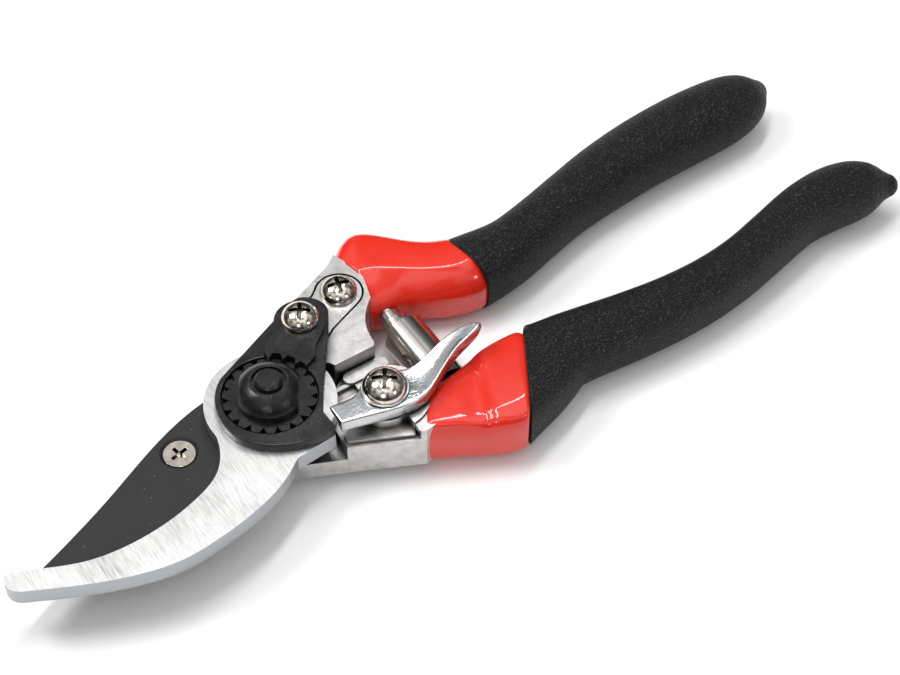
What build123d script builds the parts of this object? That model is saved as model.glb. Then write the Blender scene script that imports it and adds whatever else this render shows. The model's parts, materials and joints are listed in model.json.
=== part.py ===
"""Bypass pruning shears with a thumb catch, closed and locked.

Millimetres. The pivot axis is Z, through the origin, and Z = 0 is the underside of the pivot bolt's head,
which is what the closed shears lie on. +X runs along the handles, +Y is towards the hook's handle, and the
nut is on top. The hook, its handle and everything screwed to them turn on the pivot bolt. The cutting blade
and the other handle are the fixed side.
"""

import os

from build123d import *

os.makedirs("parts", exist_ok=True)

# ---- driving dimensions ----------------------------------------------------------------------------------

# Stack on the pivot, from the bolt head up
HEAD_TOP = 2.9
CASTING_BOTTOM = 3.0
BLADE_BOTTOM = 7.5
BLADE_TOP = 10.5
HOOK_BOTTOM = 10.6
HOOK_TOP = 14.5
PLATE_FLOOR = 15.0
PLATE_TOP = 16.7
SEGMENT_TOP = 17.9
FLANGE_TOP = 16.4
NUT_SHOULDER = 18.8
NUT_TOP = 21.2
BOLT_END = 22.0

# Pivot
SHANK_R = 4.0
THREAD_R = 2.9
BUSH_R = 5.0
RUNNING_FIT = 0.05
HEAD_R = 7.5
BLADE_DISC_R = 13.2
HOOK_DISC_R = 13.6
DISC_GAP_R = 14.0
PLATE_HOLE_R = 9.9
FLANGE_R = 9.6
NOTCH_SIDE_R = 1.45
TOOTH_SIDE_R = 1.3
TOOTH_COUNT = 19
TOOTH_PHASE = 4.0
NUT_DOME_R = 7.3
NUT_FLATS = 12.0
NUT_ANGLE = -33.25
NUT_RECESS_R = 3.6

# Screws: (x, y) of each one's axis, and what they need
M4_R = 2.0
M5_R = 2.5
M4_HEAD_R = 4.0
M5_HEAD_R = 4.6
BLADE_SCREW_TOP = 10.15
SEGMENT_SCREW = (14.9, 13.0)
TANG_SCREW = (26.8, 17.5)
BLADE_SCREW = (-20.6, 1.5)
CATCH_SCREW = (19.7, -12.4)

# Thumb catch, above the lower casting
CATCH_BOTTOM = 14.7
CATCH_TOP = 17.9
CATCH_TAB_TOP = 20.8
SPUR_SWEEP_R = 16.25
SPUR_SWEEP_TOP = 16.95
SLEEVE_R = 3.6
WASHER_R = 4.9
WASHER_THICKNESS = 0.5
GAP = 0.1

# Handles
GRIP_MID = 7.8
GRIP_CORNER = 0.86
COAT = 1.4
RED_BOTTOM = 1.4
CORE_TOP = 10.6
UPPER_RED_TOP = 14.9
LOWER_RED_TOP = 14.3
TANG_HALF_WIDTH = 3.6
TANG_BOTTOM = 4.4
TANG_TOP = 11.2
UPPER_BAR_ROOT = 6.0
LOWER_BAR_ROOT = 14.0

# Spring between the handles
SPRING_X = 35.1
SPRING_Z = 7.9
SPRING_R = 4.9
SPRING_SMALL_R = 2.9
SPRING_LOW = -11.8
SPRING_SHOULDER = 5.7
SPRING_HIGH = 11.0
SPRING_HOLE_R = 2.1
STUD_R = 1.7
STUD_LENGTH = 5.0
STUD_ROOT = 14.0

# Cutting blade
BLADE_GRIND = 2.8

# Hook's tang, let into the upper casting
TANG_GAP = 0.45
TANG_END_R = 4.9

# Levels on the lower casting
FLOOR = 10.2
STEP_TOP = 9.2
RIDGE_TOP = 10.8
WALL_TOP = 11.3
PAD_TOP = 12.2
SHOULDER_TOP = 14.0
BOSS_R = 5.6
BOSS_WALL_R = 8.3

# Stations along each grip: x, y, half width and half height
UPPER_GRIP = [
    (56.8, 11.9, 7.9, 7.6),
    (65.8, 12.1, 6.9, 7.6),
    (75.8, 14.4, 6.5, 7.6),
    (85.8, 17.0, 6.6, 7.6),
    (96.8, 19.2, 7.4, 7.6),
    (108.8, 20.8, 8.0, 7.6),
    (120.8, 21.5, 8.3, 7.6),
    (130.0, 21.6, 8.1, 7.4),
    (136.4, 21.8, 7.1, 6.6),
    (141.2, 22.0, 5.1, 5.0),
    (143.8, 22.2, 3.0, 3.0),
    (145.6, 22.3, 1.4, 1.5),
]
LOWER_GRIP = [
    (58.8, -17.6, 7.9, 7.6),
    (66.8, -18.3, 7.4, 7.6),
    (76.8, -19.6, 6.9, 7.6),
    (86.8, -20.4, 6.4, 7.6),
    (96.8, -20.3, 6.0, 7.6),
    (106.8, -19.0, 5.7, 7.6),
    (116.8, -16.6, 5.7, 7.6),
    (126.8, -14.2, 5.8, 7.6),
    (135.0, -13.8, 6.4, 7.4),
    (141.6, -14.6, 6.1, 6.6),
    (146.6, -16.3, 4.5, 4.9),
    (149.6, -17.7, 2.5, 2.7),
    (151.4, -18.7, 1.2, 1.3),
]


# ---- helpers ---------------------------------------------------------------------------------------------

def directions(stations):
    """Unit direction of a handle at each of its stations."""
    found = []
    for i in range(len(stations)):
        before = stations[max(i - 1, 0)]
        after = stations[min(i + 1, len(stations) - 1)]
        along = Vector(after[0] - before[0], after[1] - before[1], 0).normalized()
        found.append(along)
    return found


def section_plane(x, y, along):
    """Plane across a handle, with its X sideways and its Y up."""
    return Plane(origin=(x, y, GRIP_MID), x_dir=(-along.Y, along.X, 0), z_dir=(along.X, along.Y, 0))


def cross_slots(width, length):
    """The cross of a cross-head screw, in the current sketch."""
    Rectangle(length, width)
    Rectangle(width, length)


def pan_head(head_r, rim, height):
    """Half profile of a domed screw head that sits on Z = 0, in the current line."""
    start = Line((0, 0), (head_r, 0))
    side = Line(start @ 1, (head_r, rim))
    dome = ThreePointArc(side @ 1, (head_r * 0.62, rim + (height - rim) * 0.82), (0, height))
    Line(dome @ 1, start @ 0)


def write(piece, name):
    """Label a piece and write its STEP file."""
    piece.label = name
    export_step(piece, "parts/" + name + ".step")


# ---- cutting blade, on the lower handle ------------------------------------------------------------------

blade_back = [(-8.0, 10.5), (-24.3, 5.6), (-37.7, -0.9), (-46.7, -4.9), (-56.5, -8.8)]
blade_tip = (-62.4, -12.0)
blade_edge = [(-55.0, -14.6), (-45.0, -18.4), (-33.0, -20.0), (-22.0, -18.4), (-11.0, -13.0), (-4.5, -12.4)]

with BuildPart() as cutting_blade:
    with BuildSketch(Plane.XY.offset(BLADE_BOTTOM)):
        with BuildLine():
            back = Spline(blade_back)
            Line(back @ 1, blade_tip)
            edge = Spline([blade_tip] + blade_edge)
            Line(edge @ 1, (0, 0))
            Line((0, 0), back @ 0)
        make_face()
        Circle(BLADE_DISC_R)
        Circle(BUSH_R, mode=Mode.SUBTRACT)
    extrude(amount=BLADE_TOP - BLADE_BOTTOM)
    for level, drawn_in in ((BLADE_TOP, 0.0), (BLADE_BOTTOM, BLADE_GRIND)):
        with BuildSketch(Plane.XY.offset(level)):
            with BuildLine():
                ground = Spline([(x, y + drawn_in) for x, y in [(-70.0, -7.4), blade_tip] + blade_edge[:-1]])
                Polyline(ground @ 1, (30.0, -30.0), (30.0, 40.0), (-70.0, 40.0), ground @ 0)
            make_face()
    loft(ruled=True, mode=Mode.INTERSECT)
    with Locations((BLADE_SCREW[0], BLADE_SCREW[1], BLADE_TOP)):
        CounterSinkHole(radius=2.1, counter_sink_radius=4.0, counter_sink_angle=90)
write(cutting_blade.part, "cutting_blade")

with BuildPart() as blade_screw:
    with BuildSketch(Plane.XZ):
        with BuildLine():
            Polyline((0, 3.6), (M4_R, 3.6), (M4_R, 8.5), (3.3, 9.8), (3.3, BLADE_SCREW_TOP),
                     (0, BLADE_SCREW_TOP), (0, 3.6))
        make_face()
    revolve(axis=Axis.Z)
    with BuildSketch(Plane.XY.offset(BLADE_SCREW_TOP)):
        cross_slots(0.8, 3.8)
    extrude(amount=-1.2, mode=Mode.SUBTRACT)
blade_screw_at = Pos(BLADE_SCREW[0], BLADE_SCREW[1], 0) * Rot(0, 0, 12) * blade_screw.part
write(blade_screw_at, "blade_screw")

# ---- pivot: bush, bolt, toothed nut ----------------------------------------------------------------------

with BuildPart() as pivot_bush:
    with BuildSketch(Plane.XY.offset(CASTING_BOTTOM)):
        Circle(BUSH_R)
        Circle(SHANK_R + RUNNING_FIT, mode=Mode.SUBTRACT)
    extrude(amount=BLADE_TOP - CASTING_BOTTOM)
write(pivot_bush.part, "pivot_bush")

with BuildPart() as pivot_bolt:
    with BuildSketch(Plane.XZ):
        with BuildLine():
            rim = Polyline((0, 0), (HEAD_R - 1.6, 0), (HEAD_R, 1.1), (HEAD_R, HEAD_TOP), (SHANK_R, HEAD_TOP))
            stem = Polyline(rim @ 1, (SHANK_R, HOOK_TOP), (THREAD_R, HOOK_TOP), (THREAD_R, BOLT_END - 0.5))
            Polyline(stem @ 1, (THREAD_R - 0.5, BOLT_END), (0, BOLT_END), (0, 0))
        make_face()
    revolve(axis=Axis.Z)
write(pivot_bolt.part, "pivot_bolt")

pitch = 360 / TOOTH_COUNT
with BuildPart() as pivot_nut:
    with BuildSketch(Plane.XY.offset(PLATE_FLOOR)):
        Circle(FLANGE_R)
        with PolarLocations(FLANGE_R + 0.05, TOOTH_COUNT, start_angle=TOOTH_PHASE):
            RegularPolygon(NOTCH_SIDE_R, 3, rotation=180, mode=Mode.SUBTRACT)
    extrude(amount=FLANGE_TOP - PLATE_FLOOR)
    with BuildSketch(Plane.XZ):
        with BuildLine():
            base = Line((0, FLANGE_TOP - 0.5), (NUT_DOME_R, FLANGE_TOP - 0.5))
            wall = Line(base @ 1, (NUT_DOME_R, NUT_SHOULDER - 1.0))
            dome = ThreePointArc(wall @ 1, (NUT_DOME_R - 1.35, NUT_SHOULDER + 1.15), (4.1, NUT_TOP))
            Polyline(dome @ 1, (0, NUT_TOP), (0, FLANGE_TOP - 0.5))
        make_face()
    revolve(axis=Axis.Z)
    with BuildSketch(Plane.XY.offset(FLANGE_TOP)):
        Circle(FLANGE_R)
        Rectangle(NUT_FLATS, 2 * FLANGE_R + 2, rotation=NUT_ANGLE, mode=Mode.SUBTRACT)
    extrude(amount=NUT_TOP, mode=Mode.SUBTRACT)
    with Locations((0, 0, NUT_TOP)):
        CounterBoreHole(radius=THREAD_R, counter_bore_radius=NUT_RECESS_R, counter_bore_depth=0.9)
write(pivot_nut.part, "pivot_nut")

# ---- hook blade, with a tang let into the upper casting --------------------------------------------------

hook_inner = [(-61.8, -9.1), (-57.3, -11.0), (-49.9, -14.1), (-41.2, -15.5), (-32.3, -15.0), (-23.5, -12.8),
              (-18.1, -10.0), (-15.0, -6.0), (-13.5, -1.5)]
hook_tip = [(-63.4, -8.8), (-64.1, -9.6), (-64.3, -10.8), (-64.1, -12.0), (-63.5, -13.0), (-62.5, -13.8)]
hook_outer = [(-62.5, -13.8), (-57.2, -16.4), (-49.7, -19.8), (-41.1, -22.8), (-33.6, -24.2),
              (-24.9, -23.7), (-15.4, -21.8), (-10.0, -19.9), (-5.4, -17.4)]

with BuildSketch() as tang_shape:
    with BuildLine():
        Polyline((-5.0, 10.5), (14.0, 17.7), (21.5, 19.4), (24.6, 21.9), (28.6, 12.9), (20.5, 9.7),
                 (12.8, 4.5), (0, 0), close=True)
    make_face()
    with Locations(TANG_SCREW):
        Circle(TANG_END_R)

with BuildPart() as hook_blade:
    with BuildSketch(Plane.XY.offset(HOOK_BOTTOM)):
        with BuildLine():
            inner = Spline(hook_inner)
            Polyline([inner @ 0] + hook_tip)
            outer = Spline(hook_outer)
            Polyline(outer @ 1, (-2.6, -15.4), (6.6, -14.6), (7.1, -12.6), (7.1, 0), inner @ 1)
        make_face()
        Circle(HOOK_DISC_R)
        add(tang_shape.sketch)
        Circle(SHANK_R, mode=Mode.SUBTRACT)
        with Locations(SEGMENT_SCREW, TANG_SCREW):
            Circle(M4_R, mode=Mode.SUBTRACT)
    extrude(amount=HOOK_TOP - HOOK_BOTTOM)
write(hook_blade.part, "hook_blade")

# ---- cover plate and the toothed segment that locks the nut ----------------------------------------------

plate_round = [(-6.1, 9.2), (-9.6, 5.6), (-11.4, 0.4), (-11.4, -3.8), (-9.6, -7.9), (-4.8, -12.1),
               (-0.1, -14.1), (3.3, -14.7), (6.9, -14.3)]
plate_edge = [(11.4, -2.5), (15.9, 4.0), (19.2, 8.9), (21.3, 12.4)]

with BuildPart() as cover_plate:
    with BuildSketch(Plane.XY.offset(HOOK_TOP)):
        with BuildLine():
            belly = Spline(plate_round)
            Line(belly @ 1, (6.8, -9.6))
            flank = Spline([(6.8, -9.6)] + plate_edge)
            crown = Spline((flank @ 1, (21.3, 16.2), (18.6, 19.0), (14.2, 18.2)),
                           tangents=((0.5, 1.0), (-1.0, -0.45)))
            Line(crown @ 1, belly @ 0)
        make_face()
        Circle(PLATE_HOLE_R, mode=Mode.SUBTRACT)
        with Locations(SEGMENT_SCREW):
            Circle(M4_R, mode=Mode.SUBTRACT)
    extrude(amount=PLATE_TOP - HOOK_TOP)
    with BuildSketch(Plane.XY.offset(HOOK_TOP)):
        Circle(PLATE_HOLE_R + GAP)
        Circle(SHANK_R, mode=Mode.SUBTRACT)
    extrude(amount=PLATE_FLOOR - HOOK_TOP)
write(cover_plate.part, "cover_plate")

with BuildSketch() as tooth_shape:
    with PolarLocations(PLATE_HOLE_R - 0.1, 3, start_angle=TOOTH_PHASE + pitch, angular_range=3 * pitch):
        RegularPolygon(TOOTH_SIDE_R, 3, rotation=180)

with BuildPart() as lock_segment:
    with BuildSketch(Plane.XY.offset(PLATE_TOP)):
        with BuildLine():
            left = Line((4.0, 9.1), (9.6, 14.6))
            top = ThreePointArc(left @ 1, (15.8, 18.1), (20.0, 12.6))
            hollow = Spline(top @ 1, (17.7, 8.2), (14.6, 5.7), (12.6, 2.9))
            foot = Line(hollow @ 1, (9.7, 1.6))
            ThreePointArc(foot @ 1, (7.4, 6.45), left @ 0)
        make_face()
        add(tooth_shape.sketch)
        with Locations(SEGMENT_SCREW):
            Circle(M4_R, mode=Mode.SUBTRACT)
    extrude(amount=SEGMENT_TOP - PLATE_TOP)
    with BuildSketch(Plane.XY.offset(PLATE_FLOOR + GAP)):
        add(tooth_shape.sketch)
        Circle(PLATE_HOLE_R - GAP, mode=Mode.INTERSECT)
    extrude(amount=PLATE_TOP - PLATE_FLOOR)
write(lock_segment.part, "lock_segment")

# ---- cross-head screws -----------------------------------------------------------------------------------


def pan_screw(radius, height, shank_r, length):
    """Domed cross-head screw, the underside of its head on Z = 0."""
    with BuildPart() as screw:
        with BuildSketch(Plane.XZ):
            with BuildLine():
                pan_head(radius, 0.7, height)
            make_face()
        revolve(axis=Axis.Z)
        with BuildSketch(Plane.XY):
            Circle(shank_r)
        extrude(amount=-length)
        with BuildSketch(Plane.XY.offset(height + 0.2)):
            cross_slots(0.95, radius * 1.15)
        extrude(amount=-1.9, mode=Mode.SUBTRACT)
    return screw.part


m4_screw = pan_screw(M4_HEAD_R, 2.9, M4_R, 9.5)
m5_screw = pan_screw(M5_HEAD_R, 3.2, M5_R, 11.0)
write(Pos(*SEGMENT_SCREW, SEGMENT_TOP) * Rot(0, 0, 57) * m4_screw, "segment_screw")
write(Pos(*TANG_SCREW, HOOK_TOP) * Rot(0, 0, 75) * m4_screw, "tang_screw")
write(Pos(*CATCH_SCREW, CATCH_TOP + GAP + WASHER_THICKNESS) * Rot(0, 0, 57) * m5_screw, "catch_screw")

# ---- thumb catch, the sleeve that it turns on and its spring washer --------------------------------------

catch_far = [(14.7, -10.7), (16.2, -8.6), (19.3, -7.0), (22.6, -7.7), (24.9, -10.2), (28.2, -10.8),
             (33.2, -9.1), (38.0, -8.3), (42.0, -8.3), (44.1, -9.2), (44.8, -10.6)]
catch_near = [(44.8, -10.6), (43.4, -11.6), (39.7, -11.7), (36.0, -12.7), (32.3, -14.9), (27.5, -17.6),
              (23.2, -18.5), (19.7, -18.1)]

with BuildPart() as catch_lever:
    with BuildSketch(Plane.XY.offset(CATCH_BOTTOM)):
        with BuildLine():
            far = Spline(catch_far)
            near = Spline(catch_near)
            Polyline(near @ 1, (7.8, -15.1), (7.9, -9.8), far @ 0)
        make_face()
        with Locations(CATCH_SCREW):
            Circle(SLEEVE_R + RUNNING_FIT, mode=Mode.SUBTRACT)
    extrude(amount=CATCH_TAB_TOP - CATCH_BOTTOM)
    with BuildSketch(Plane.XZ.offset(-30)):
        with BuildLine():
            under = Polyline((0, CATCH_BOTTOM), (29.0, CATCH_BOTTOM), (34.0, 15.1), (44.0, 16.9),
                             (46.0, 18.6))
            rise = Spline(under @ 1, (44.4, CATCH_TAB_TOP - 0.4), (41.0, CATCH_TAB_TOP - 0.5), (36.0, 19.0),
                          (31.0, CATCH_TOP + 0.1), (26.0, CATCH_TOP))
            Polyline(rise @ 1, (0, CATCH_TOP), (0, CATCH_BOTTOM))
        make_face()
    extrude(amount=60, both=True, mode=Mode.INTERSECT)
    with BuildSketch(Plane.XY.offset(CATCH_BOTTOM)):
        Circle(SPUR_SWEEP_R)
    extrude(amount=SPUR_SWEEP_TOP - CATCH_BOTTOM, mode=Mode.SUBTRACT)
write(catch_lever.part, "catch_lever")

with BuildPart() as catch_sleeve:
    with BuildSketch(Plane.XY.offset(CATCH_BOTTOM - GAP)):
        with Locations(CATCH_SCREW):
            Circle(SLEEVE_R)
            Circle(M5_R, mode=Mode.SUBTRACT)
    extrude(amount=CATCH_TOP + GAP - CATCH_BOTTOM + GAP)
write(catch_sleeve.part, "catch_sleeve")

with BuildPart() as catch_washer:
    with BuildSketch(Plane.XY.offset(CATCH_TOP + GAP)):
        with Locations(CATCH_SCREW):
            Circle(WASHER_R)
            Circle(M5_R, mode=Mode.SUBTRACT)
    extrude(amount=WASHER_THICKNESS)
write(catch_washer.part, "catch_washer")

# ---- shapes that the castings, the red coats and the grips share -----------------------------------------


def coat_outline(points_out, points_in, edge):
    """Closed outline of a red coat: its outer side, its inner side, and the slanting edge on the casting."""
    with BuildLine() as outline:
        outside = Spline(points_out)
        inside = Spline(points_in)
        Line(outside @ 1, inside @ 0)
        Polyline([inside @ 1] + edge + [outside @ 0])
    return outline.line


UPPER_RED_OUT = [(31.2, 27.6), (34.6, 30.8), (37.6, 31.9), (40.8, 31.0), (44.2, 27.7), (47.8, 23.6),
                 (52.0, 20.7), (56.4, 19.4)]
UPPER_RED_IN = [(56.4, 4.3), (52.5, 4.8), (48.0, 6.3), (43.2, 8.7), (39.6, 10.6), (35.4, 11.3), (31.5, 11.8)]
UPPER_RED_EDGE = [(33.7, 18.2), (33.0, 23.5)]
LOWER_RED_OUT = [(22.8, -23.0), (28.0, -25.8), (33.0, -28.5), (37.4, -30.8), (40.4, -31.9), (42.6, -31.4)]
LOWER_RED_IN = [(54.6, -10.4), (50.5, -9.8), (45.0, -10.0), (39.4, -11.1), (35.4, -12.0), (30.3, -13.2)]
LOWER_RED_EDGE = [(28.4, -15.4), (24.3, -20.6)]

# Casting inside each red coat, about one coat thickness in from the coat's outer side
UPPER_CORE = [(29.8, 25.7), (34.9, 29.2), (37.7, 30.3), (40.0, 29.6), (43.2, 26.6), (46.6, 22.6),
              (51.4, 19.5), (56.4, 18.0), (56.4, 5.8), (52.8, 6.2), (48.6, 7.6), (43.9, 10.0), (40.0, 12.5),
              (35.4, 13.2), (30.0, 13.2)]
LOWER_CORE = [(22.0, -21.2), (28.0, -24.2), (33.4, -27.1), (37.6, -29.3), (40.6, -30.3), (41.8, -30.0),
              (52.6, -11.4), (45.0, -11.5), (39.6, -12.5), (35.4, -13.5), (30.4, -14.7), (27.0, -13.0)]

upper_red_line = coat_outline(UPPER_RED_OUT, UPPER_RED_IN, UPPER_RED_EDGE)
lower_red_line = coat_outline(LOWER_RED_OUT, LOWER_RED_IN, LOWER_RED_EDGE)


def tang_strip(stations, root):
    """Closed outline of the bar that a grip is moulded on, with its root that far inside the casting."""
    along = directions(stations)
    left = []
    right = []
    for (x, y, half, height), way in list(zip(stations, along))[:-4]:
        left.append((x - TANG_HALF_WIDTH * way.Y, y + TANG_HALF_WIDTH * way.X))
        right.append((x + TANG_HALF_WIDTH * way.Y, y - TANG_HALF_WIDTH * way.X))
    start_left = (left[0][0] - root * along[0].X, left[0][1] - root * along[0].Y)
    start_right = (right[0][0] - root * along[0].X, right[0][1] - root * along[0].Y)
    with BuildLine() as outline:
        one = Spline(left)
        two = Spline(right)
        Line(one @ 1, two @ 1)
        Polyline(one @ 0, start_left, start_right, two @ 0)
    return outline.line


def grip_tang(stations, root):
    """The bar itself."""
    with BuildPart() as bar:
        with BuildSketch(Plane.XY.offset(TANG_BOTTOM)):
            with BuildLine():
                add(tang_strip(stations, root))
            make_face()
        extrude(amount=TANG_TOP - TANG_BOTTOM)
    return bar.part


def spring_stud(y, length):
    """Stud that a spring end slips over, from y along +Y or -Y."""
    with BuildPart() as stud:
        with BuildSketch(Plane.XZ.offset(-y)):
            with Locations((SPRING_X, SPRING_Z)):
                Circle(STUD_R)
        extrude(amount=-length)
    return stud.part


upper_tang = grip_tang(UPPER_GRIP, UPPER_BAR_ROOT)
lower_tang = grip_tang(LOWER_GRIP, LOWER_BAR_ROOT)
upper_stud = spring_stud(STUD_ROOT, -(STUD_ROOT - SPRING_HIGH + STUD_LENGTH))
lower_stud = spring_stud(-STUD_ROOT, STUD_ROOT + SPRING_LOW + STUD_LENGTH)

# ---- upper casting ---------------------------------------------------------------------------------------

head_far = [(17.0, 20.3), (28.4, 25.1), (31.4, 27.3)]
head_bay = [(31.7, 12.6), (29.8, 10.9), (28.0, 8.8), (26.5, 5.6), (25.8, 1.6)]

with BuildPart() as upper_handle:
    with BuildSketch(Plane.XY.offset(CASTING_BOTTOM)):
        with BuildLine():
            Polyline([(8.0, 12.0)] + head_far + [(32.7, 23.5), (33.4, 18.2), head_bay[0]])
            bay = Spline(head_bay)
            Polyline(bay @ 1, (25.2, 0.9), (15.8, 0.9), (15.2, 2.0), (10.0, 6.0), (8.0, 12.0))
        make_face()
        Circle(DISC_GAP_R, mode=Mode.SUBTRACT)
    extrude(amount=HOOK_TOP - CASTING_BOTTOM)
    with BuildSketch(Plane.XY.offset(RED_BOTTOM + COAT)):
        with BuildLine():
            Polyline(UPPER_CORE, close=True)
        make_face()
    extrude(amount=CORE_TOP - RED_BOTTOM - COAT)
    with BuildSketch(Plane.XY.offset(HOOK_BOTTOM)):
        add(tang_shape.sketch)
        offset(amount=TANG_GAP)
    extrude(amount=10, mode=Mode.SUBTRACT)
    with Locations((*SEGMENT_SCREW, HOOK_BOTTOM), (*TANG_SCREW, HOOK_BOTTOM)):
        Hole(radius=M4_R, depth=6.5)
    add(upper_tang)
    add(upper_stud)
write(upper_handle.part, "upper_handle")

# ---- lower casting ---------------------------------------------------------------------------------------

with BuildPart() as lower_handle:
    with BuildSketch(Plane.XY.offset(CASTING_BOTTOM)):
        Circle(12.4)
        with Locations(BLADE_SCREW):
            Circle(5.6)
        with BuildLine():
            Polyline((-21.6, -4.0), (-3.0, -12.0), (-1.9, -12.25), (8.0, -16.6), (12.0, 2.0), (-2.0, 12.2),
                     (-21.0, 7.1), close=True)
        make_face()
    extrude(amount=BLADE_BOTTOM - CASTING_BOTTOM)
    with BuildSketch(Plane.XY.offset(CASTING_BOTTOM)):
        with BuildLine():
            Polyline((8.0, -16.5), (22.6, -23.4), (30.0, -22.0), (30.0, -13.4), (28.2, -9.0), (26.9, -3.0),
                     (26.9, 0.6), (16.6, 0.6), (13.0, -2.0), (9.0, -9.0), close=True)
        make_face()
    extrude(amount=WALL_TOP - CASTING_BOTTOM)
    with BuildSketch(Plane.XY.offset(WALL_TOP)):
        with BuildLine():
            Polyline((8.6, -15.9), (20.9, -21.7), (22.4, -19.4), (27.0, -12.0), (26.4, -3.0), (26.4, 0.1),
                     (17.0, 0.1), (13.0, -2.0), (9.0, -9.0), close=True)
        make_face()
    extrude(amount=PAD_TOP - WALL_TOP)
    with BuildSketch(Plane.XY.offset(CASTING_BOTTOM)):
        with BuildLine():
            Polyline((21.6, -22.9), (22.6, -23.4), (30.0, -22.0), (30.0, -13.4), (26.0, -12.4),
                     (21.6, -19.8), close=True)
        make_face()
    extrude(amount=SHOULDER_TOP - CASTING_BOTTOM)
    with BuildSketch(Plane.XY.offset(FLOOR)):
        Circle(SPUR_SWEEP_R + 0.3)
        with BuildLine():
            Polyline((12.0, -13.0), (20.0, -15.0), (25.0, -15.0), (27.0, -12.0), (30.0, -7.0), (30.0, 4.0),
                     (0, 4), close=True)
        make_face()
    extrude(amount=5, mode=Mode.SUBTRACT)
    with BuildSketch(Plane.XY.offset(STEP_TOP)):
        Rectangle(60, 3.0)
        with Locations((14.0, -3.6)):
            Rectangle(8.4, 2.4)
    extrude(amount=5, mode=Mode.SUBTRACT)
    with BuildSketch(Plane.XY.offset(STEP_TOP)):
        with Locations((21.9, -1.0)):
            SlotOverall(10.4, 3.2)
    extrude(amount=RIDGE_TOP - STEP_TOP)
    with BuildSketch(Plane.XY.offset(STEP_TOP)):
        with Locations((20.8, -12.4)):
            Circle(BOSS_WALL_R)
            with Locations((-BOSS_WALL_R + 0.6, 0)):
                Rectangle(2 * BOSS_WALL_R, 3 * BOSS_WALL_R, mode=Mode.SUBTRACT)
        with Locations(CATCH_SCREW):
            Circle(BOSS_R)
        Circle(SPUR_SWEEP_R + 0.3, mode=Mode.SUBTRACT)
    extrude(amount=CATCH_BOTTOM - GAP - STEP_TOP)
    with BuildSketch(Plane.XY.offset(BLADE_BOTTOM)):
        Circle(BLADE_DISC_R + 0.3)
    extrude(amount=10, mode=Mode.SUBTRACT)
    with BuildSketch(Plane.XY.offset(RED_BOTTOM + COAT)):
        with BuildLine():
            Polyline(LOWER_CORE, close=True)
        make_face()
    extrude(amount=CORE_TOP - RED_BOTTOM - COAT)
    with Locations((0, 0, BLADE_BOTTOM)):
        Hole(radius=BUSH_R)
    with Locations((*BLADE_SCREW, BLADE_BOTTOM)):
        Hole(radius=M4_R, depth=3.9)
    with Locations((*CATCH_SCREW, CATCH_BOTTOM)):
        Hole(radius=M5_R, depth=7.5)
    add(lower_tang)
    add(lower_stud)
write(lower_handle.part, "lower_handle")

# ---- red dipped coats ------------------------------------------------------------------------------------


def red_coat(outline, top, core, seat_r, seat_from, seat_to):
    """Dipped coat: the outline's full block, less the casting inside it and the spring's seat."""
    with BuildPart() as coat:
        with BuildSketch(Plane.XY.offset(RED_BOTTOM)):
            with BuildLine():
                add(outline)
            make_face()
        extrude(amount=top - RED_BOTTOM)
        add(core, mode=Mode.SUBTRACT)
        with BuildSketch(Plane.XZ.offset(-seat_from)):
            with Locations((SPRING_X, SPRING_Z)):
                Circle(seat_r)
        extrude(amount=seat_from - seat_to, mode=Mode.SUBTRACT)
    return coat.part


upper_red_coat = red_coat(upper_red_line, UPPER_RED_TOP, upper_handle.part, SPRING_SMALL_R + 0.4, 5.0,
                          SPRING_HIGH + 0.4)
lower_red_coat = red_coat(lower_red_line, LOWER_RED_TOP, lower_handle.part, SPRING_R + 0.2, SPRING_LOW, 0.0)
write(upper_red_coat, "upper_red_coat")
write(lower_red_coat, "lower_red_coat")

# ---- black grips -----------------------------------------------------------------------------------------


def grip(stations, first, casting, coat):
    """Grip lofted over its stations, less the casting's bar and the end of the red coat."""
    with BuildPart() as body:
        if first:
            x, y, half, height, way = first
            with BuildSketch(section_plane(x, y, Vector(*way).normalized())):
                RectangleRounded(2 * half, 2 * height, GRIP_CORNER * height)
        for (x, y, half, height), way in zip(stations, directions(stations)):
            with BuildSketch(section_plane(x, y, way)):
                RectangleRounded(2 * half, 2 * height, GRIP_CORNER * min(half, height))
        loft()
        add(casting, mode=Mode.SUBTRACT)
        add(coat, mode=Mode.SUBTRACT)
    return body.part


write(grip(UPPER_GRIP, None, upper_handle.part, upper_red_coat), "upper_grip")
lower_start = (48.5, -20.9, 12.2, 7.2, (0.863, -0.505, 0))
write(grip(LOWER_GRIP, lower_start, lower_handle.part, lower_red_coat), "lower_grip")

# ---- volute spring ---------------------------------------------------------------------------------------

with BuildPart() as volute_spring:
    with BuildSketch(Plane.XY.offset(SPRING_Z)):
        with BuildLine():
            Polyline((SPRING_X + SPRING_HOLE_R, SPRING_LOW), (SPRING_X + SPRING_R, SPRING_LOW),
                     (SPRING_X + SPRING_R, SPRING_SHOULDER), (SPRING_X + SPRING_SMALL_R, SPRING_SHOULDER),
                     (SPRING_X + SPRING_SMALL_R, SPRING_HIGH), (SPRING_X + SPRING_HOLE_R, SPRING_HIGH),
                     close=True)
        make_face()
    revolve(axis=Axis((SPRING_X, 0, SPRING_Z), (0, 1, 0)))
write(volute_spring.part, "volute_spring")
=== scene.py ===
import json
import math

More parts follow.
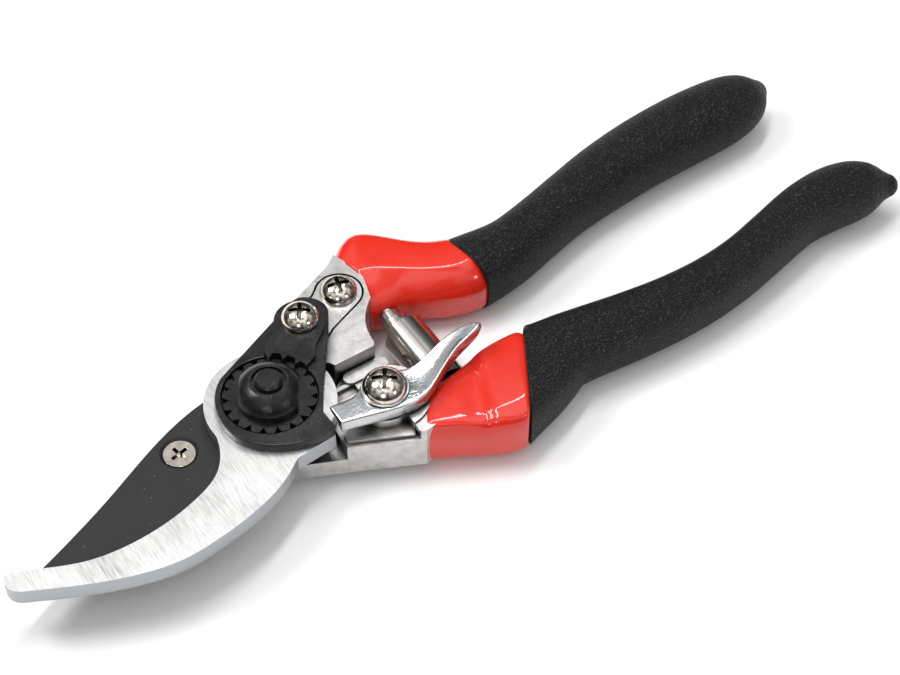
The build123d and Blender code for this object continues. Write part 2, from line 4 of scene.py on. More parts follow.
import bmesh
import bpy
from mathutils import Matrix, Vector


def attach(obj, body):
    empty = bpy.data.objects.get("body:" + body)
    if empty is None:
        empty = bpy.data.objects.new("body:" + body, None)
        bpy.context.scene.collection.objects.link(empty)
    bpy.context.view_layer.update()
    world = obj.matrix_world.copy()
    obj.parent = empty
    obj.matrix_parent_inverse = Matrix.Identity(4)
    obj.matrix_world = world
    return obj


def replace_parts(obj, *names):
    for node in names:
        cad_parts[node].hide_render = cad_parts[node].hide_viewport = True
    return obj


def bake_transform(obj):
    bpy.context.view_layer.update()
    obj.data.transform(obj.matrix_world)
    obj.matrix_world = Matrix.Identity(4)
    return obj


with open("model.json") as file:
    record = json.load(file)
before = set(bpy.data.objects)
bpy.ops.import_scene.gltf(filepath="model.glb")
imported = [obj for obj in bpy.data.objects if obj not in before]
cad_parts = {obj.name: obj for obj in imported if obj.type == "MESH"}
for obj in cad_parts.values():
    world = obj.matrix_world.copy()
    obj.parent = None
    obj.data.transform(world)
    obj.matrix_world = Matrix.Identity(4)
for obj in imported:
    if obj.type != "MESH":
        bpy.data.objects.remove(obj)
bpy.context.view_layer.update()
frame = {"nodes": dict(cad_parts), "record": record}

# ---- places and sizes, millimetres in the row's own frame ----------------------------------------------

MM = 0.001
VIEW_TARGET = (46.3, 4.3, 0.0)
VIEW_AZIMUTH = -33.25
VIEW_ELEVATION = 50.0
VIEW_DISTANCE = 460.0
GRIP_MID = 7.8
RED_BOTTOM = 1.4
SPRING_X = 35.1
SPRING_Z = 7.9

# The turn in degrees from which an edge of a made piece counts as sharp
SHARP_TURN = 35

# How closely gaps are sampled for the shade painted into base colours, and where that painted shade is half
# done and how softly it fades
OPEN_SAMPLES = 6
OPEN_HALF = 0.66
OPEN_SOFT = 0.30


# ---- shader expressions --------------------------------------------------------------------------------

class Level:
    """A number that varies over a surface. Arithmetic on it adds Math nodes."""

    def __init__(self, finish, socket):
        self.finish = finish
        self.socket = socket

    def _maths(self, operation, *values):
        made = self.finish.add("ShaderNodeMath", {"operation": operation}, *values)
        return Level(self.finish, made.outputs[0])

    def __add__(self, other):
        return self._maths("ADD", self, other)

    __radd__ = __add__

    def __sub__(self, other):
        return self._maths("SUBTRACT", self, other)

    def __rsub__(self, other):
        return self._maths("SUBTRACT", other, self)

    def __mul__(self, other):
        return self._maths("MULTIPLY", self, other)

    __rmul__ = __mul__

    def above(self, edge, soft):
        """0 below edge - soft, 1 above edge + soft."""
        eased = {"interpolation_type": "SMOOTHSTEP"}
        made = self.finish.add("ShaderNodeMapRange", eased, self, edge - soft, edge + soft, 0.0, 1.0)
        return Level(self.finish, made.outputs[0])


class Finish:
    """A material with one Principled shader, and the nodes that feed it."""

    def __init__(self, name, **constants):
        self.material = bpy.data.materials.new(name)
        self.material.use_nodes = True
        self.nodes = self.material.node_tree.nodes
        self.links = self.material.node_tree.links
        self.shader = self.nodes["Principled BSDF"]
        for socket, value in constants.items():
            self.feed(socket.replace("_", " "), value)
        self.place = self.add("ShaderNodeTexCoord", {}).outputs["Object"]

    def add(self, kind, settings, *values, **named):
        """A node of that type: its settings first, then its sockets in order or by name."""
        made = self.nodes.new(kind)
        for key, value in settings.items():
            setattr(made, key, value)
        for socket, value in zip(made.inputs, values):
            self._give(socket, value)
        for key, value in named.items():
            self._give(made.inputs[key.replace("_", " ")], value)
        return made

    def _give(self, socket, value):
        if isinstance(value, Level):
            value = value.socket
        if isinstance(value, bpy.types.NodeSocket):
            self.links.new(value, socket)
        elif hasattr(value, "__len__") and len(value) == 3 and socket.type == "RGBA":
            socket.default_value = (*value, 1.0)
        else:
            socket.default_value = value

    def feed(self, socket, value):
        self._give(self.shader.inputs[socket], value)

    def stretched(self, scale, turn=0.0):
        """The place on the surface, turned about Z and scaled along each axis."""
        turned = self.add("ShaderNodeMapping", {"vector_type": "POINT"}, self.place)
        turned.inputs["Rotation"].default_value = (0.0, 0.0, math.radians(turn))
        turned.inputs["Scale"].default_value = scale
        return turned.outputs[0]

    def noise(self, scale, detail=3.0, roughness=0.55, place=None):
        """Cloudy noise, scale in cells per metre."""
        made = self.add("ShaderNodeTexNoise", {}, Vector=place or self.place, Scale=scale, Detail=detail,
                        Roughness=roughness)
        return Level(self, made.outputs["Fac"])

    def cells(self, scale):
        """Distance to the nearest of scattered points."""
        made = self.add("ShaderNodeTexVoronoi", {}, Vector=self.place, Scale=scale)
        return Level(self, made.outputs["Distance"])

    def painted_shade_mask(self, reach):
        """Mask for shade painted into base colours: 0 in corners and gaps, 1 where nothing stands within
        reach, in millimetres.
        """
        made = self.add("ShaderNodeAmbientOcclusion", {"samples": OPEN_SAMPLES}, Distance=reach * MM)
        return Level(self, made.outputs["AO"]).above(OPEN_HALF, OPEN_SOFT)

    def flatness(self):
        """1 on level faces, 0 on upright ones, one half on a bevel between them."""
        place = self.add("ShaderNodeNewGeometry", {})
        parts = self.add("ShaderNodeSeparateXYZ", {}, place.outputs["Normal"])
        up = Level(self, parts.outputs["Z"])
        return up * up

    def tint(self, factor, low, high):
        """Colour between low and high."""
        made = self.add("ShaderNodeMix", {"data_type": "RGBA"})
        self._give(made.inputs["Factor"], factor)
        self._give(made.inputs[6], low)
        self._give(made.inputs[7], high)
        return made.outputs[2]

    def relief(self, height, depth, strength=1.0):
        """Bump of that depth in metres for a height from 0 to 1."""
        made = self.add("ShaderNodeBump", {}, Height=height, Distance=depth, Strength=strength)
        self.feed("Normal", made.outputs[0])


# ---- finishes ------------------------------------------------------------------------------------------

def cast_aluminium():
    """Satin die casting, mottled by the mould and faintly scuffed, with shade painted into its corners and
    gaps.
    """
    f = Finish("cast_aluminium", Metallic=1.0)
    blotch = f.noise(420.0, 4.0, 0.6)
    grain = f.noise(2600.0, 3.0, 0.6)
    # Painted shade: the base colour falls to near black in corners and gaps.
    f.feed("Base Color", f.tint(f.painted_shade_mask(2.5), (0.06, 0.057, 0.054),
                                f.tint(blotch.above(0.5, 0.25), (0.46, 0.45, 0.435), (0.62, 0.61, 0.60))))
    f.feed("Roughness", 0.22 + 0.14 * blotch + 0.14 * grain)
    f.relief(0.6 * grain + 0.4 * f.noise(900.0, 2.0), 0.00006)
    return f.material


def polished_casting():
    """The catch: tumbled smooth, with a slight cold tint, soft waves and shade painted into its corners."""
    f = Finish("polished_casting", Metallic=1.0)
    wave = f.noise(170.0, 2.0)
    # Painted shade: the base colour falls to near black in corners and gaps.
    f.feed("Base Color", f.tint(f.painted_shade_mask(2.5), (0.06, 0.06, 0.065),
                                f.tint(wave, (0.44, 0.455, 0.47), (0.64, 0.65, 0.665))))
    f.feed("Roughness", 0.10 + 0.18 * f.noise(900.0, 3.0))
    f.relief(0.6 * wave + 0.2 * f.noise(420.0, 2.0) + 0.2 * f.noise(1500.0, 2.0), 0.00022)
    return f.material


def ground_steel():
    """Ground hook: fine grain across the blade, with darker scratches between, and a dark line on the
    bevelled edges that is partly a burr and partly a painted reflection.
    """
    f = Finish("ground_steel", Metallic=1.0)
    grain = f.noise(1.0, 4.0, 0.7, f.stretched((5200.0, 260.0, 300.0), 14.0))
    cloud = f.noise(120.0, 3.0)
    line = (grain + 0.35 * (cloud - 0.5)).above(0.42, 0.22)
    level = f.flatness()
    # Bevelled edges go dark: partly a burr, partly a painted reflection of the dim horizon.
    burr_and_painted_reflection_edge = (4 * level * (1 - level)).above(0.55, 0.3)
    face = f.tint(line, (0.44, 0.435, 0.43), (0.72, 0.715, 0.71))
    whole = f.tint(level, (0.40, 0.415, 0.43), face)
    f.feed("Base Color", f.tint(burr_and_painted_reflection_edge, whole, (0.10, 0.095, 0.09)))
    f.feed("Roughness", 0.18 + 0.20 * grain + 0.10 * cloud)
    f.relief(grain, 0.00003)
    return f.material


def coated_steel():
    """Matt low-friction coating on the cutting blade, with a few bright specks."""
    f = Finish("coated_steel", Metallic=0.0, Specular_IOR_Level=0.30)
    cloud = f.noise(180.0, 3.0)
    speck = 1 - f.cells(420.0).above(0.06, 0.02)
    worn = f.tint(speck, (0.017, 0.0175, 0.018), (0.12, 0.12, 0.12))
    f.feed("Base Color", worn)
    f.feed("Roughness", 0.48 + 0.14 * cloud)
    f.relief(f.noise(3200.0, 3.0), 0.00003)
    return f.material


def black_oxide():
    """Oiled black oxide on the plate, the segment, the nut and the bolt."""
    f = Finish("black_oxide", Metallic=0.0, Specular_IOR_Level=0.38)
    cloud = f.noise(240.0, 4.0, 0.6)
    f.feed("Base Color", f.tint(cloud.above(0.52, 0.12), (0.005, 0.005, 0.0054), (0.014, 0.0135, 0.014)))
    f.feed("Roughness", 0.16 + 0.20 * cloud)
    f.relief(f.noise(1900.0, 3.0), 0.00005)
    return f.material


def nickel_plate():
    """Bright warm nickel on the screw heads, with shade painted into the recesses."""
    f = Finish("nickel_plate", Metallic=1.0)
    cloud = f.noise(500.0, 3.0)
    # Painted shade: the base colour falls to dark brown in recesses and gaps.
    f.feed("Base Color", f.tint(f.painted_shade_mask(1.2), (0.09, 0.07, 0.05),
                                f.tint(cloud.above(0.5, 0.2), (0.60, 0.53, 0.45), (0.82, 0.765, 0.69))))
    f.feed("Roughness", 0.06 + 0.08 * cloud)
    f.relief(f.noise(1600.0, 2.0), 0.00002)
    return f.material


def spring_nickel():
    """Nickel plated strip, drawn along its length, with shade painted in between the turns."""
    f = Finish("spring_nickel", Metallic=1.0)
    drawn = f.noise(1.0, 3.0, 0.6, f.stretched((500.0, 60.0, 500.0)))
    plate = f.tint(drawn, (0.50, 0.46, 0.42), (0.74, 0.71, 0.67))
    # Painted shade: the base colour falls to dark brown between the turns.
    f.feed("Base Color", f.tint(f.painted_shade_mask(1.5), (0.08, 0.07, 0.06), plate))
    f.feed("Roughness", 0.08 + 0.14 * drawn)
    f.relief(drawn, 0.00002)
    return f.material


def zinc_steel():
    """Bright zinc on the catch's sleeve and washer."""
    f = Finish("zinc_steel", Metallic=1.0)
    cloud = f.noise(600.0, 3.0)
    f.feed("Base Color", f.tint(cloud, (0.50, 0.51, 0.53), (0.74, 0.75, 0.76)))
    f.feed("Roughness", 0.22 + 0.16 * cloud)
    return f.material


def turned_bronze():
    """Turned bush."""
    f = Finish("turned_bronze", Metallic=1.0)
    turned = f.noise(1.0, 2.0, 0.5, f.stretched((200.0, 200.0, 5200.0)))
    f.feed("Base Color", f.tint(turned, (0.48, 0.33, 0.16), (0.70, 0.52, 0.29)))
    f.feed("Roughness", 0.25 + 0.2 * turned)
    return f.material


def red_dip():
    """Thick glossy vinyl, dipped over the casting: slow waves and a few pits."""
    f = Finish("red_dip", Coat_Weight=0.9, Coat_Roughness=0.03, Specular_IOR_Level=0.15)
    wave = f.noise(75.0, 2.0)
    pit = 1 - f.cells(150.0).above(0.07, 0.03)
    f.feed("Base Color", f.tint(wave, (0.66, 0.021, 0.010), (0.74, 0.028, 0.013)))
    f.feed("Roughness", 0.22 + 0.10 * f.noise(300.0, 2.0))
    f.relief(wave + 0.12 * f.noise(700.0, 2.0) - 0.15 * pit, 0.00025)
    return f.material


def black_grip():
    """Matt dipped foam: fine grain, with pale specks painted in as glints off the grain."""
    f = Finish("black_grip", Specular_IOR_Level=0.25)
    grain = f.noise(1500.0, 3.0, 0.65)
    # The pale specks in the base colour are painted glints off the grain.
    speck = f.noise(2900.0, 2.0).above(0.62, 0.08)
    f.feed("Base Color", f.tint(speck, (0.0025, 0.0025, 0.0027), (0.075, 0.075, 0.07)))
    f.feed("Roughness", 0.40 + 0.2 * grain)
    f.relief(grain, 0.0007)
    return f.material


# ---- meshes --------------------------------------------------------------------------------------------

def new_piece(name, points, faces, material, smooth=True):
    """A mesh piece, its points in millimetres."""
    mesh = bpy.data.meshes.new(name)
    mesh.from_pydata([Vector(p) * MM for p in points], [], faces)
    mesh.materials.append(material)
    mesh.polygons.foreach_set("use_smooth", [smooth] * len(mesh.polygons))
    mesh.update()
    piece = bpy.data.objects.new(name, mesh)
    bpy.context.scene.collection.objects.link(piece)
    return piece


def skin(rings):
    """Points and faces of a closed tube through equal rings of points."""
    count = len(rings[0])
    points = [p for ring in rings for p in ring]
    faces = []
    for i in range(len(rings) - 1):
        for j in range(count):
            k = (j + 1) % count
            faces.append((i * count + j, i * count + k, (i + 1) * count + k, (i + 1) * count + j))
    last = (len(rings) - 1) * count
    faces.append(tuple(reversed(range(count))))
    faces.append(tuple(range(last, last + count)))
    return points, faces


def facing_out(piece):
    """Turns every face of a closed piece outwards."""
    mesh = bmesh.new()
    mesh.from_mesh(piece.data)
    bmesh.ops.recalc_face_normals(mesh, faces=mesh.faces)
    mesh.to_mesh(piece.data)
    mesh.free()
    return piece


def smoothed(piece, levels):
    """Catmull-Clark subdivision."""
    smooth = piece.modifiers.new("smooth", "SUBSURF")
    smooth.levels = levels
    smooth.render_levels = levels
    return piece


def rounded(piece, radius, limit, clamped):
    """Rounds the edges that turn more than limit degrees. Radius in millimetres."""
    edge = piece.modifiers.new("edge", "BEVEL")
    edge.width = radius * MM
    edge.segments = 3
    edge.limit_method = "ANGLE"
    edge.angle_limit = math.radians(limit)
    edge.use_clamp_overlap = clamped


def between(a, b, t):
    """The point at share t of the way from a to b."""
    return tuple(p + (q - p) * t for p, q in zip(a, b))


def eased_through(a, b, c, d, t):
    """Catmull-Rom value between b and c."""
    cubic = 3 * b - a - 3 * c + d
    square = 2 * a - 5 * b + 4 * c - d
    return 0.5 * (2 * b + (c - a) * t + square * t * t + cubic * t ** 3)


def through(stations, steps):
    """Smooth path through stations (tuples of numbers), with that many steps in each gap."""
    path = []
    last = len(stations) - 1
    for i in range(last):
        p = [stations[max(i - 1, 0)], stations[i], stations[i + 1], stations[min(i + 2, last)]]
        for s in range(steps):
            path.append(tuple(eased_through(a, b, c, d, s / steps) for a, b, c, d in zip(*p)))
    path.append(tuple(stations[last]))
    return path


# ---- black grips ---------------------------------------------------------------------------------------

# Place x, y, half width, half height, squareness of the section
UPPER_GRIP = [
    (55.4, 12.0, 7.4, 7.0, 2.9), (55.9, 12.0, 7.8, 7.5, 2.9), (65.8, 12.1, 6.9, 7.6, 2.4),
    (75.8, 14.4, 6.5, 7.6, 2.3), (85.8, 17.0, 6.6, 7.6, 2.3), (96.8, 19.2, 7.4, 7.6, 2.3),
    (108.8, 20.8, 8.0, 7.6, 2.3), (120.8, 21.5, 8.3, 7.6, 2.3), (130.0, 21.6, 8.2, 7.5, 2.2),
    (136.0, 21.7, 7.6, 7.1, 2.1), (139.8, 21.9, 6.5, 6.2, 2.0), (142.0, 22.1, 5.1, 5.0, 2.0),
    (143.3, 22.3, 3.8, 3.9, 2.0), (144.3, 22.5, 2.9, 3.1, 2.0), (145.1, 22.7, 2.2, 2.4, 2.0),
    (145.7, 22.9, 1.2, 1.3, 2.0),
]
LOWER_GRIP = [
    (48.7, -20.9, 11.9, 7.0, 3.4), (49.2, -21.1, 12.2, 7.3, 3.4), (54.6, -18.9, 9.6, 7.5, 2.9),
    (60.0, -17.7, 7.8, 7.6, 2.5), (66.8, -18.3, 7.4, 7.6, 2.3), (76.8, -19.6, 6.9, 7.6, 2.3),
    (86.8, -20.4, 6.4, 7.6, 2.3), (96.8, -20.3, 6.0, 7.6, 2.3), (106.8, -19.0, 5.7, 7.6, 2.3),
    (116.8, -16.6, 5.7, 7.6, 2.3), (126.8, -14.2, 5.9, 7.6, 2.3), (134.8, -13.8, 6.6, 7.5, 2.2),
    (140.8, -14.5, 6.7, 7.1, 2.1), (144.8, -15.6, 5.9, 6.3, 2.0), (147.0, -16.5, 4.7, 5.0, 2.0),
    (148.4, -17.2, 3.5, 3.8, 2.0), (149.5, -17.8, 2.7, 3.0, 2.0), (150.6, -18.4, 2.1, 2.4, 2.0),
    (151.4, -18.8, 1.1, 1.3, 2.0),
]
# Angle of each grip's front edge, the length over which it eases away, and points round a section
UPPER_GRIP_SLANT = 10.0
LOWER_GRIP_SLANT = -30.3
SLANT_LENGTH = 12.0
GRIP_COUNT = 44


def grip_section(half_width, half_height, power):
    """Points of a rounded section, (sideways, up)."""
    found = []
    for k in range(GRIP_COUNT):
        angle = 2 * math.pi * k / GRIP_COUNT
        c = math.cos(angle)
        s = math.sin(angle)
        found.append((half_width * math.copysign(abs(c) ** (2 / power), c),
                      half_height * math.copysign(abs(s) ** (2 / power), s)))
    return found


def make_grip(name, body, stations, slant):
    """A dipped grip along its stations, its front edge at the slant's angle."""
    path = through(stations, 5)
    rings = []
    for i, (x, y, half, height, power) in enumerate(path):
        before = path[max(i - 1, 0)]
        after = path[min(i + 1, len(path) - 1)]
        turn = math.degrees(math.atan2(after[1] - before[1], after[0] - before[0]))
        held = max(0.0, 1 - (x - path[0][0]) / SLANT_LENGTH)
        held = held * held * (3 - 2 * held)
        turn = turn * (1 - held) + slant * held
        way = (math.cos(math.radians(turn)), math.sin(math.radians(turn)))
        rings.append([(x - way[1] * side, y + way[0] * side, GRIP_MID + up)
                      for side, up in grip_section(half, height, power)])
    piece = new_piece(name, *skin(rings), FINISHES["black_grip"])
    facing_out(smoothed(piece, 1))
    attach(piece, body)
    return piece


# ---- red coats -----------------------------------------------------------------------------------------

# Near side x, y; far side x, y; how far the middle bows along X; crease, in from the near side; top
UPPER_RED = [
    (30.9, 12.0, 30.5, 26.6, 2.3, 8.5, 14.9), (33.0, 11.7, 32.8, 29.3, 1.7, 8.2, 15.0),
    (36.0, 11.4, 36.4, 31.5, 0.6, 7.6, 15.0), (39.2, 10.8, 39.6, 31.5, 0.0, 6.6, 14.9),
    (42.4, 9.2, 43.0, 28.8, 0.0, 6.0, 14.8), (46.0, 7.4, 46.4, 25.1, 0.0, 5.4, 14.8),
    (49.8, 5.8, 50.2, 21.9, 0.0, 5.0, 14.8), (53.4, 4.9, 53.6, 20.2, 0.0, 5.0, 14.8),
    (56.4, 4.8, 55.0, 19.5, 0.0, 5.2, 14.7), (58.4, 6.2, 56.6, 18.2, 0.0, 4.0, 13.2),
]
# The same, with the near side outermost
LOWER_RED = [
    (22.8, -23.1, 30.2, -13.3, -0.6, 1.9, 14.2), (25.4, -24.5, 32.6, -12.7, -0.3, 2.0, 14.3),
    (29.5, -26.7, 36.0, -12.0, 0.0, 2.2, 14.1), (32.0, -28.1, 38.8, -11.3, 0.0, 2.6, 13.8),
    (34.0, -29.1, 41.2, -10.8, 0.0, 3.2, 13.8), (35.6, -30.0, 43.0, -10.5, 0.0, 3.7, 14.6),
    (38.6, -31.3, 46.6, -10.1, 0.0, 4.2, 14.7), (41.4, -31.8, 51.0, -10.1, 0.0, 4.6, 14.7),
    (42.4, -31.2, 53.9, -10.6, 0.0, 4.2, 14.5), (44.8, -29.0, 55.0, -12.8, 0.0, 3.0, 13.0),
]


# How far the near slope falls from the crease, and how far the lip is drawn in on the casting
UPPER_RED_FALL = 3.6
LOWER_RED_FALL = 1.2
RED_LIP = 0.9


def red_section(near, far, bow, crease, top, fall, lip):
    """Ring of a coat across the handle: near wall, slope up to the crease, flat top, far wall, underside."""
    width = math.dist(near, far)
    low = RED_BOTTOM + lip
    side = RED_BOTTOM + 3.0
    near_cage = [
        (lip, side), (lip, GRIP_MID), (lip, top - fall - 1.6), (lip + 0.8, top - fall - 0.1),
        (lip + 0.36 * crease, top - 0.55 * fall), (crease - 0.7, top - 0.3 - lip),
    ]
    top_cage = [
        (crease, top - 0.02 - lip), (crease + 0.9, top - lip), (0.62 * width, top + 0.05 - lip),
        (width - 3.4, top - 0.15 - lip),
    ]
    far_cage = [
        (width - 1.0 - lip, top - 1.1 - lip), (width - lip, top - 3.6), (width - lip, GRIP_MID),
        (width - lip, side), (width - 0.9 - lip, low + 0.9),
    ]
    under_cage = [(width - 3.2, low), (0.5 * width, low), (3.2, low), (0.9 + lip, low + 0.9)]
    ring = []
    for across, z in near_cage + top_cage + far_cage + under_cage:
        t = across / width
        x, y = between(near, far, t)
        ring.append((x + bow * 4 * t * (1 - t), y, z))
    return ring


def make_red_coat(name, body, stations, fall):
    """A dipped coat with a rounded lip on the casting; its other end runs under the grip."""
    path = through(stations, 2)
    rings = []
    for lip, (x0, y0, x1, y1, bow, crease, top) in [(RED_LIP, path[0])] + [(0.0, place) for place in path]:
        rings.append(red_section((x0, y0), (x1, y1), bow, crease, top, fall, lip))
    piece = new_piece(name, *skin(rings), FINISHES["red_dip"])
    facing_out(smoothed(piece, 2))
    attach(piece, body)
    return piece


# ---- thumb catch ---------------------------------------------------------------------------------------

# Far side x, y; near side x, y; bottom; top at the far side; top at the near side; hollow of the top;
# width of the near skirt, 0 where the lever is whole underneath
CATCH = [
    (7.9, -9.9, 7.8, -15.0, 14.75, 17.8, 17.8, 0.0, 0.7),
    (9.1, -10.0, 9.1, -15.3, 14.75, 17.9, 17.9, 0.0, 1.4),
    (11.4, -10.3, 11.4, -15.9, 14.75, 17.9, 17.9, 0.0, 3.6),
    (13.4, -10.4, 13.6, -16.5, 14.75, 17.9, 17.9, 0.0, 5.9),
    (15.2, -9.5, 15.8, -17.1, 14.75, 17.9, 17.9, 0.0, 0.0),
    (17.2, -7.9, 18.2, -17.7, 14.75, 17.9, 17.9, 0.0, 0.0),
    (19.8, -7.1, 20.6, -18.2, 14.75, 17.9, 17.9, 0.0, 0.0),
    (22.2, -7.7, 23.2, -18.4, 14.75, 17.9, 17.9, 0.0, 0.0),
    (24.2, -9.2, 25.6, -18.2, 14.75, 17.9, 17.8, 0.1, 0.0),
    (26.4, -10.3, 28.0, -17.2, 14.75, 18.1, 17.9, 0.3, 0.0),
    (29.6, -10.2, 31.0, -15.4, 14.9, 18.5, 18.2, 0.5, 0.0),
    (33.2, -9.1, 34.0, -13.7, 15.1, 18.9, 18.8, 0.6, 0.0),
    (36.8, -8.3, 37.2, -12.3, 15.7, 19.3, 19.6, 0.5, 0.0),
    (40.4, -8.1, 40.5, -11.6, 16.6, 19.9, 20.2, 0.2, 0.0),
    (43.0, -8.7, 43.1, -11.1, 17.7, 20.3, 20.3, 0.0, 0.0),
    (44.6, -9.6, 44.6, -10.4, 18.9, 20.1, 20.1, 0.0, 0.0),
]
# Underside where the lever bridges the spur, the narrowest skirt that shows, and its least thickness
SPUR_CLEARANCE_Z = 16.97
SKIRT_SHOWS = 0.35
SKIRT_LEAST = 0.6
CATCH_EDGE = 0.5


def make_catch():
    """Polished lever: a bar across the spur, an eye for its screw, and a thumb tab that rises to its tip."""
    rings = []
    for fx, fy, nx, ny, low, far_top, near_top, hollow, skirt in through(CATCH, 2):
        far = (fx, fy)
        near = (nx, ny)
        width = math.dist(far, near)
        under = SPUR_CLEARANCE_Z if skirt > SKIRT_SHOWS else low
        inner = width - min(max(skirt, SKIRT_LEAST), width - 0.3)
        outline = [
            (0.0, under), (0.0, far_top), (0.33 * width, (2 * far_top + near_top) / 3 - hollow),
            (0.67 * width, (far_top + 2 * near_top) / 3 - hollow), (width, near_top), (width, low),
            (inner, low), (inner, under),
        ]
        rings.append([(*between(far, near, across / width), z) for across, z in outline])
    piece = new_piece("catch_lever_body", *skin(rings), FINISHES["polished_casting"])
    facing_out(piece)
    rounded(piece, CATCH_EDGE, SHARP_TURN, clamped=False)
    smoothed(piece, 1)
    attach(piece, "catch")
    return piece


# ---- volute spring -------------------------------------------------------------------------------------

# Turns of the wound strip, from the outside in: radius, where it starts and ends along Y, rise of its edge
SPRING_TURNS = [(4.9, -12.0, 5.2, 0.9), (3.9, -2.0, 6.2, 1.3), (3.0, 0.0, 8.0, 1.4), (2.35, 2.0, 10.6, 0.6)]
SPRING_WALL = 0.5
SPRING_COUNT = 64
SPRING_SEAM = math.radians(140)


def make_spring():
    """Wound strip: each turn is a short tube whose end edge climbs once round, as the strip does."""
    points = []
    faces = []
    for radius, low, high, rise in SPRING_TURNS:
        rings = []
        bore = radius - SPRING_WALL
        outline = [
            (radius, low, 0), (radius, high - 0.25, 1), (radius - 0.22, high, 1),
            (bore, high, 1), (bore, low, 0),
        ]
        for r, base, climbing in outline:
            ring = []
            for k in range(SPRING_COUNT):
                share = k / (SPRING_COUNT - 1)
                angle = SPRING_SEAM + 2 * math.pi * share
                ring.append((SPRING_X + r * math.cos(angle), base + climbing * rise * (share - 0.5),
                             SPRING_Z + r * math.sin(angle)))
            rings.append(ring)
        first = len(points)
        points += [p for ring in rings for p in ring]
        for i in range(len(rings)):
            for k in range(SPRING_COUNT - 1):
                a = first + i * SPRING_COUNT + k
                b = first + (i + 1) % len(rings) * SPRING_COUNT + k
                faces.append((a, a + 1, b + 1, b))
        for k, order in ((0, 1), (SPRING_COUNT - 1, -1)):
            end = [first + i * SPRING_COUNT + k for i in range(len(rings))]
            faces.append(tuple(end[::order]))
    piece = new_piece("volute_spring_strip", points, faces, FINISHES["spring_nickel"])
    facing_out(piece)
    smooth_by_angle(piece)
    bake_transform(piece)
    return piece


def smooth_by_angle(piece):
    """Edges that turn more than SHARP_TURN stay sharp in the shading."""
    mesh = bmesh.new()
    mesh.from_mesh(piece.data)
    for edge in mesh.edges:
        edge.smooth = len(edge.link_faces) == 2 and edge.calc_face_angle() < math.radians(SHARP_TURN)
    mesh.to_mesh(piece.data)
    mesh.free()


# ---- assembly ------------------------------------------------------------------------------------------

FINISHES = {
    "cast_aluminium": cast_aluminium(), "polished_casting": polished_casting(),
    "coated_steel": coated_steel(), "ground_steel": ground_steel(), "black_oxide": black_oxide(),
    "bronze": turned_bronze(), "zinc_steel": zinc_steel(), "nickel_plate": nickel_plate(),
    "spring_nickel": spring_nickel(), "red_dip": red_dip(), "black_grip": black_grip(),
}
slot_of = {entry["node"]: entry["material_slot"] for entry in frame["record"]["subparts"]}

# Rounding of each machined or cast node's edges, millimetres
EDGE_RADIUS = {
    "upper_handle": 0.8, "lower_handle": 0.6, "hook_blade": 0.4, "cutting_blade": 0.15, "cover_plate": 0.5,
    "lock_segment": 0.25, "pivot_nut": 0.22, "pivot_bolt": 0.3, "segment_screw": 0.15, "tang_screw": 0.15,
    "catch_screw": 0.15, "blade_screw": 0.12, "catch_washer": 0.1,
}
WELD_GAP = 0.01
NODE_EDGE_TURN = 32

for node, piece in frame["nodes"].items():
    piece.data.materials.clear()
    piece.data.materials.append(FINISHES[slot_of[node]])
    if node in EDGE_RADIUS:
        weld = piece.modifiers.new("weld", "WELD")
        weld.merge_threshold = WELD_GAP * MM
        rounded(piece, EDGE_RADIUS[node], NODE_EDGE_TURN, clamped=True)

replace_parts(make_grip("upper_grip_foam", "upper", UPPER_GRIP, UPPER_GRIP_SLANT), "upper_grip")
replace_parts(make_grip("lower_grip_foam", "lower", LOWER_GRIP, LOWER_GRIP_SLANT), "lower_grip")
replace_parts(make_red_coat("upper_red_dip", "upper", UPPER_RED, UPPER_RED_FALL), "upper_red_coat")
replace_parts(make_red_coat("lower_red_dip", "lower", LOWER_RED, LOWER_RED_FALL), "lower_red_coat")
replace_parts(make_catch(), "catch_lever")
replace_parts(make_spring(), "volute_spring")

# ---- floor, light and camera ---------------------------------------------------------------------------

FLOOR_HALF = 3000


def floor_finish():
    """Matt pale paper."""
    f = Finish("paper", Specular_IOR_Level=0.2)
    f.feed("Base Color", f.tint(f.noise(6.0, 2.0), (0.90, 0.90, 0.90), (0.93, 0.93, 0.93)))
    f.feed("Roughness", 0.8)
    return f.material


corners = [(FLOOR_HALF * x, FLOOR_HALF * y, 0) for x, y in ((-1, -1), (1, -1), (1, 1), (-1, 1))]
floor = new_piece("floor", corners, [(0, 1, 2, 3)], floor_finish(), smooth=False)


def soft_light(name, where, size, power):
    """A square area light that faces the shears, millimetres and watts."""
    light = bpy.data.lights.new(name, "AREA")
    light.size = size * MM
    light.energy = power
    holder = bpy.data.objects.new(name, light)
    bpy.context.scene.collection.objects.link(holder)
    holder.location = Vector(where) * MM
    holder.rotation_euler = (Vector(VIEW_TARGET) - Vector(where)).to_track_quat("-Z", "Y").to_euler()
    return holder


def strip_light(name, where, width, length, power, turn):
    """A long soft box overhead that points down, its length turned from the X axis by that many degrees."""
    holder = soft_light(name, where, length, power)
    holder.data.shape = "RECTANGLE"
    holder.data.size_y = width * MM
    holder.rotation_euler = (0, 0, math.radians(turn))


soft_light("key", (-330, 330, 640), 260, 2.6)
soft_light("left_front", (-330, -420, 330), 110, 0.34)
soft_light("right_front", (260, -560, 360), 110, 0.34)
strip_light("strip", (130, 150, 620), 60, 560, 2.0, 30.0)


# The tent's light is ZENITH * height ** FALLOFF + HORIZON, times the panels' noise
ZENITH = 1.35
FALLOFF = 2.2
HORIZON = 0.08
PANEL_SCALE = 2.6
PANEL_RANGE = (0.40, 0.58, 0.30, 1.25)


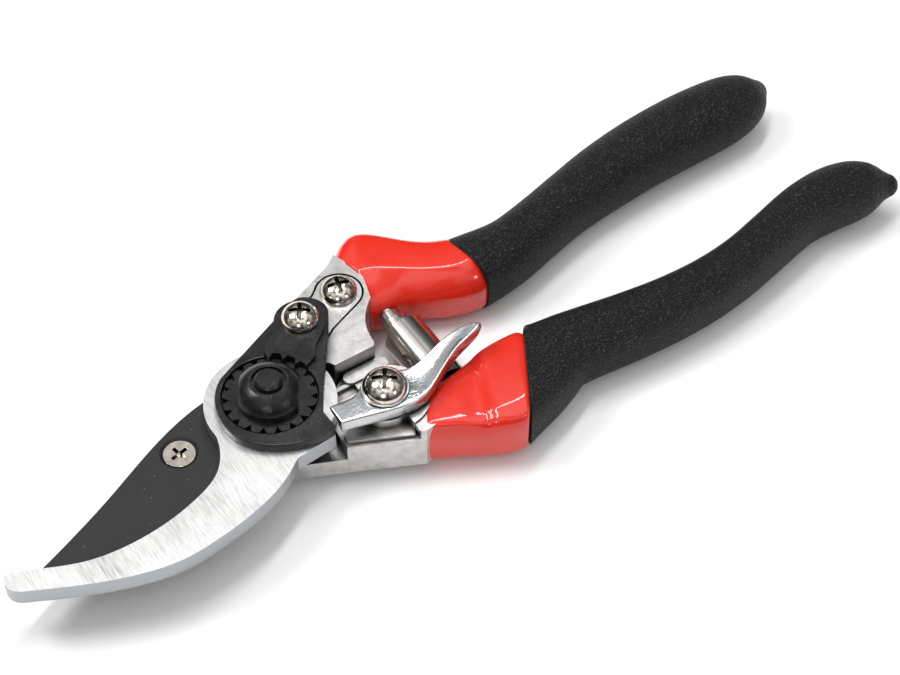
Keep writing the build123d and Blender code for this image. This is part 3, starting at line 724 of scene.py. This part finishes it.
def studio():
    """A light tent: bright overhead, dim near the horizon, so that curved metal has dark and light bands."""
    world = bpy.data.worlds.new("studio")
    world.use_nodes = True
    nodes = world.node_tree.nodes
    links = world.node_tree.links

    def maths(operation, *values):
        made = nodes.new("ShaderNodeMath")
        made.operation = operation
        for socket, value in zip(made.inputs, values):
            if isinstance(value, bpy.types.NodeSocket):
                links.new(value, socket)
            else:
                socket.default_value = value
        return made.outputs[0]

    place = nodes.new("ShaderNodeTexCoord").outputs["Generated"]
    parts = nodes.new("ShaderNodeSeparateXYZ")
    height = nodes.new("ShaderNodeClamp")
    panels = nodes.new("ShaderNodeTexNoise")
    panels.inputs["Scale"].default_value = PANEL_SCALE
    panels.inputs["Detail"].default_value = 0.0
    contrast = nodes.new("ShaderNodeMapRange")
    contrast.interpolation_type = "SMOOTHSTEP"
    for socket, value in zip(contrast.inputs[1:5], PANEL_RANGE):
        socket.default_value = value
    links.new(place, parts.inputs[0])
    links.new(parts.outputs["Z"], height.inputs[0])
    links.new(place, panels.inputs["Vector"])
    links.new(panels.outputs[0], contrast.inputs[0])
    tent = maths("MULTIPLY_ADD", maths("POWER", height.outputs[0], FALLOFF), ZENITH, HORIZON)
    links.new(maths("MULTIPLY", tent, contrast.outputs[0]), nodes["Background"].inputs["Strength"])
    nodes["Background"].inputs["Color"].default_value = (1, 1, 1, 1)
    bpy.context.scene.world = world


studio()
bpy.context.scene.view_settings.view_transform = "Standard"

camera = bpy.data.cameras.new("camera")
camera.lens = 85
camera.sensor_width = 36
camera.clip_start = 0.01
holder = bpy.data.objects.new("camera", camera)
bpy.context.scene.collection.objects.link(holder)
azimuth = math.radians(VIEW_AZIMUTH)
elevation = math.radians(VIEW_ELEVATION)
level_share = math.cos(elevation)
away = Vector((math.sin(azimuth) * level_share, -math.cos(azimuth) * level_share, math.sin(elevation)))
holder.location = (Vector(VIEW_TARGET) + VIEW_DISTANCE * away) * MM
holder.rotation_euler = (-away).to_track_quat("-Z", "Y").to_euler()
bpy.context.scene.camera = holder
